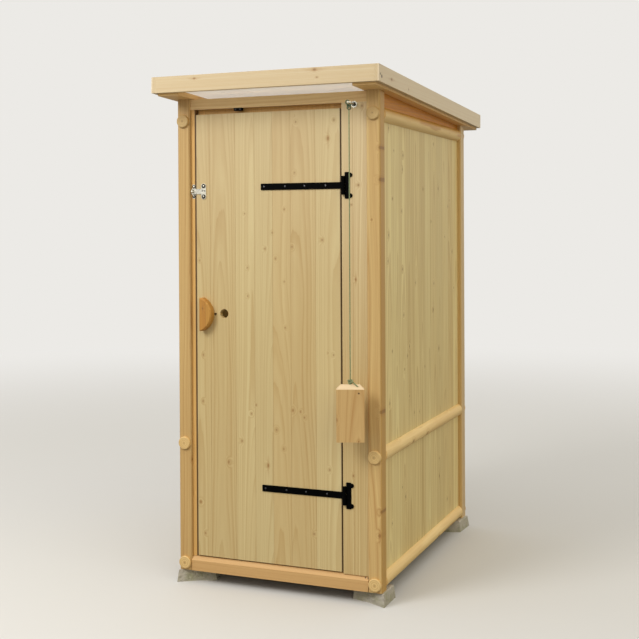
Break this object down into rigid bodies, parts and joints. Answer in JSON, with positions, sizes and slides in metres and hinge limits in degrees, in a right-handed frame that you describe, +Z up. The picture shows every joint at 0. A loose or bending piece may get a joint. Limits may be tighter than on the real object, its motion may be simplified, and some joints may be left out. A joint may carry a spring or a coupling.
{
  "type": "wooden outhouse cabin",
  "caption": "Small wooden outhouse with a lean-to roof, round rails through its posts, a strap-hinged plank door and a counterweight on a cord that shuts it.",
  "frame": {"origin": "on the ground, under the middle of the roof's outline", "axes": "+Z up, the door faces -Y, +X to the right of someone who looks at the door"},
  "size_m": [0.993, 1.5894, 2.121],
  "materials": {
    "foot_stone": "rough cut grey stone, damp at the ground",
    "post_wood": "planed orange-brown softwood",
    "rail_wood": "turned pale softwood with end grain on the tenons",
    "panel_wood": "glued pale spruce boards, planed",
    "front_wood": "planed pale softwood",
    "floor_wood": "planed softwood floor boards",
    "roof_wood": "pale sawn softwood",
    "roof_sheet": "translucent twin-wall sheet",
    "door_wood": "glued pale spruce boards, planed",
    "pull_wood": "orange-brown softwood",
    "black_iron": "satin black paint",
    "zinc_steel": "bright zinc plated steel",
    "weight_wood": "planed pale softwood",
    "green_cord": "twisted green cord"
  },
  "bodies": {
    "cabin": {"cord_guide": "zinc_steel", "cord_knot": "green_cord", "door_catch": "zinc_steel", "door_stops": "front_wood", "fascia_front": "roof_wood", "fascia_left": "roof_wood", "fascia_rear": "roof_wood", "fascia_right": "roof_wood", "floor": "floor_wood", "floor_joists": "floor_wood", "foot_stones": "foot_stone", "front_side_board": "front_wood", "gable_left": "panel_wood", "gable_rear": "panel_wood", "gable_right": "panel_wood", "hasp_staple": "zinc_steel", "head_beam": "front_wood", "hinge_plate_lower": "black_iron", "hinge_plate_upper": "black_iron", "panel_left_lower": "panel_wood", "panel_left_upper": "panel_wood", "panel_rear_lower": "panel_wood", "panel_rear_upper": "panel_wood", "panel_right_lower": "panel_wood", "panel_right_upper": "panel_wood", "post_front_left": "post_wood", "post_front_right": "post_wood", "post_rear_left": "post_wood", "post_rear_right": "post_wood", "rafter_left": "roof_wood", "rafter_right": "roof_wood", "rail_bottom_left": "rail_wood", "rail_bottom_right": "rail_wood", "rail_middle_left": "rail_wood", "rail_middle_right": "rail_wood", "rail_top_left": "rail_wood", "rail_top_right": "rail_wood", "rails_rear": "rail_wood", "roof_sheet": "roof_sheet", "sill": "rail_wood"},
    "door": {"door_leaf": "door_wood", "door_ledges": "door_wood", "door_pull": "pull_wood", "hinge_strap_upper": "black_iron", "hinge_strap_lower": "black_iron", "hasp_arm": "zinc_steel"},
    "weight": {"weight_block": "weight_wood", "weight_cord": "green_cord"}
  },
  "joints": [
    {"name": "door_swing", "type": "hinge", "parent": "cabin", "child": "door", "pos_m": [0.2955, -0.65635, 1.056], "axis": [0, 0, 1], "range_deg": [0, 90]},
    {"name": "weight_lift", "type": "slide", "parent": "cabin", "child": "weight", "axis": [0, 0, 1], "range_m": [0, 0.377], "deforming": ["weight_cord"]}
  ],
  "couplings": [
    {"joint": "weight_lift", "follows": "door_swing", "m_per_rad": 0.24}
  ]
}
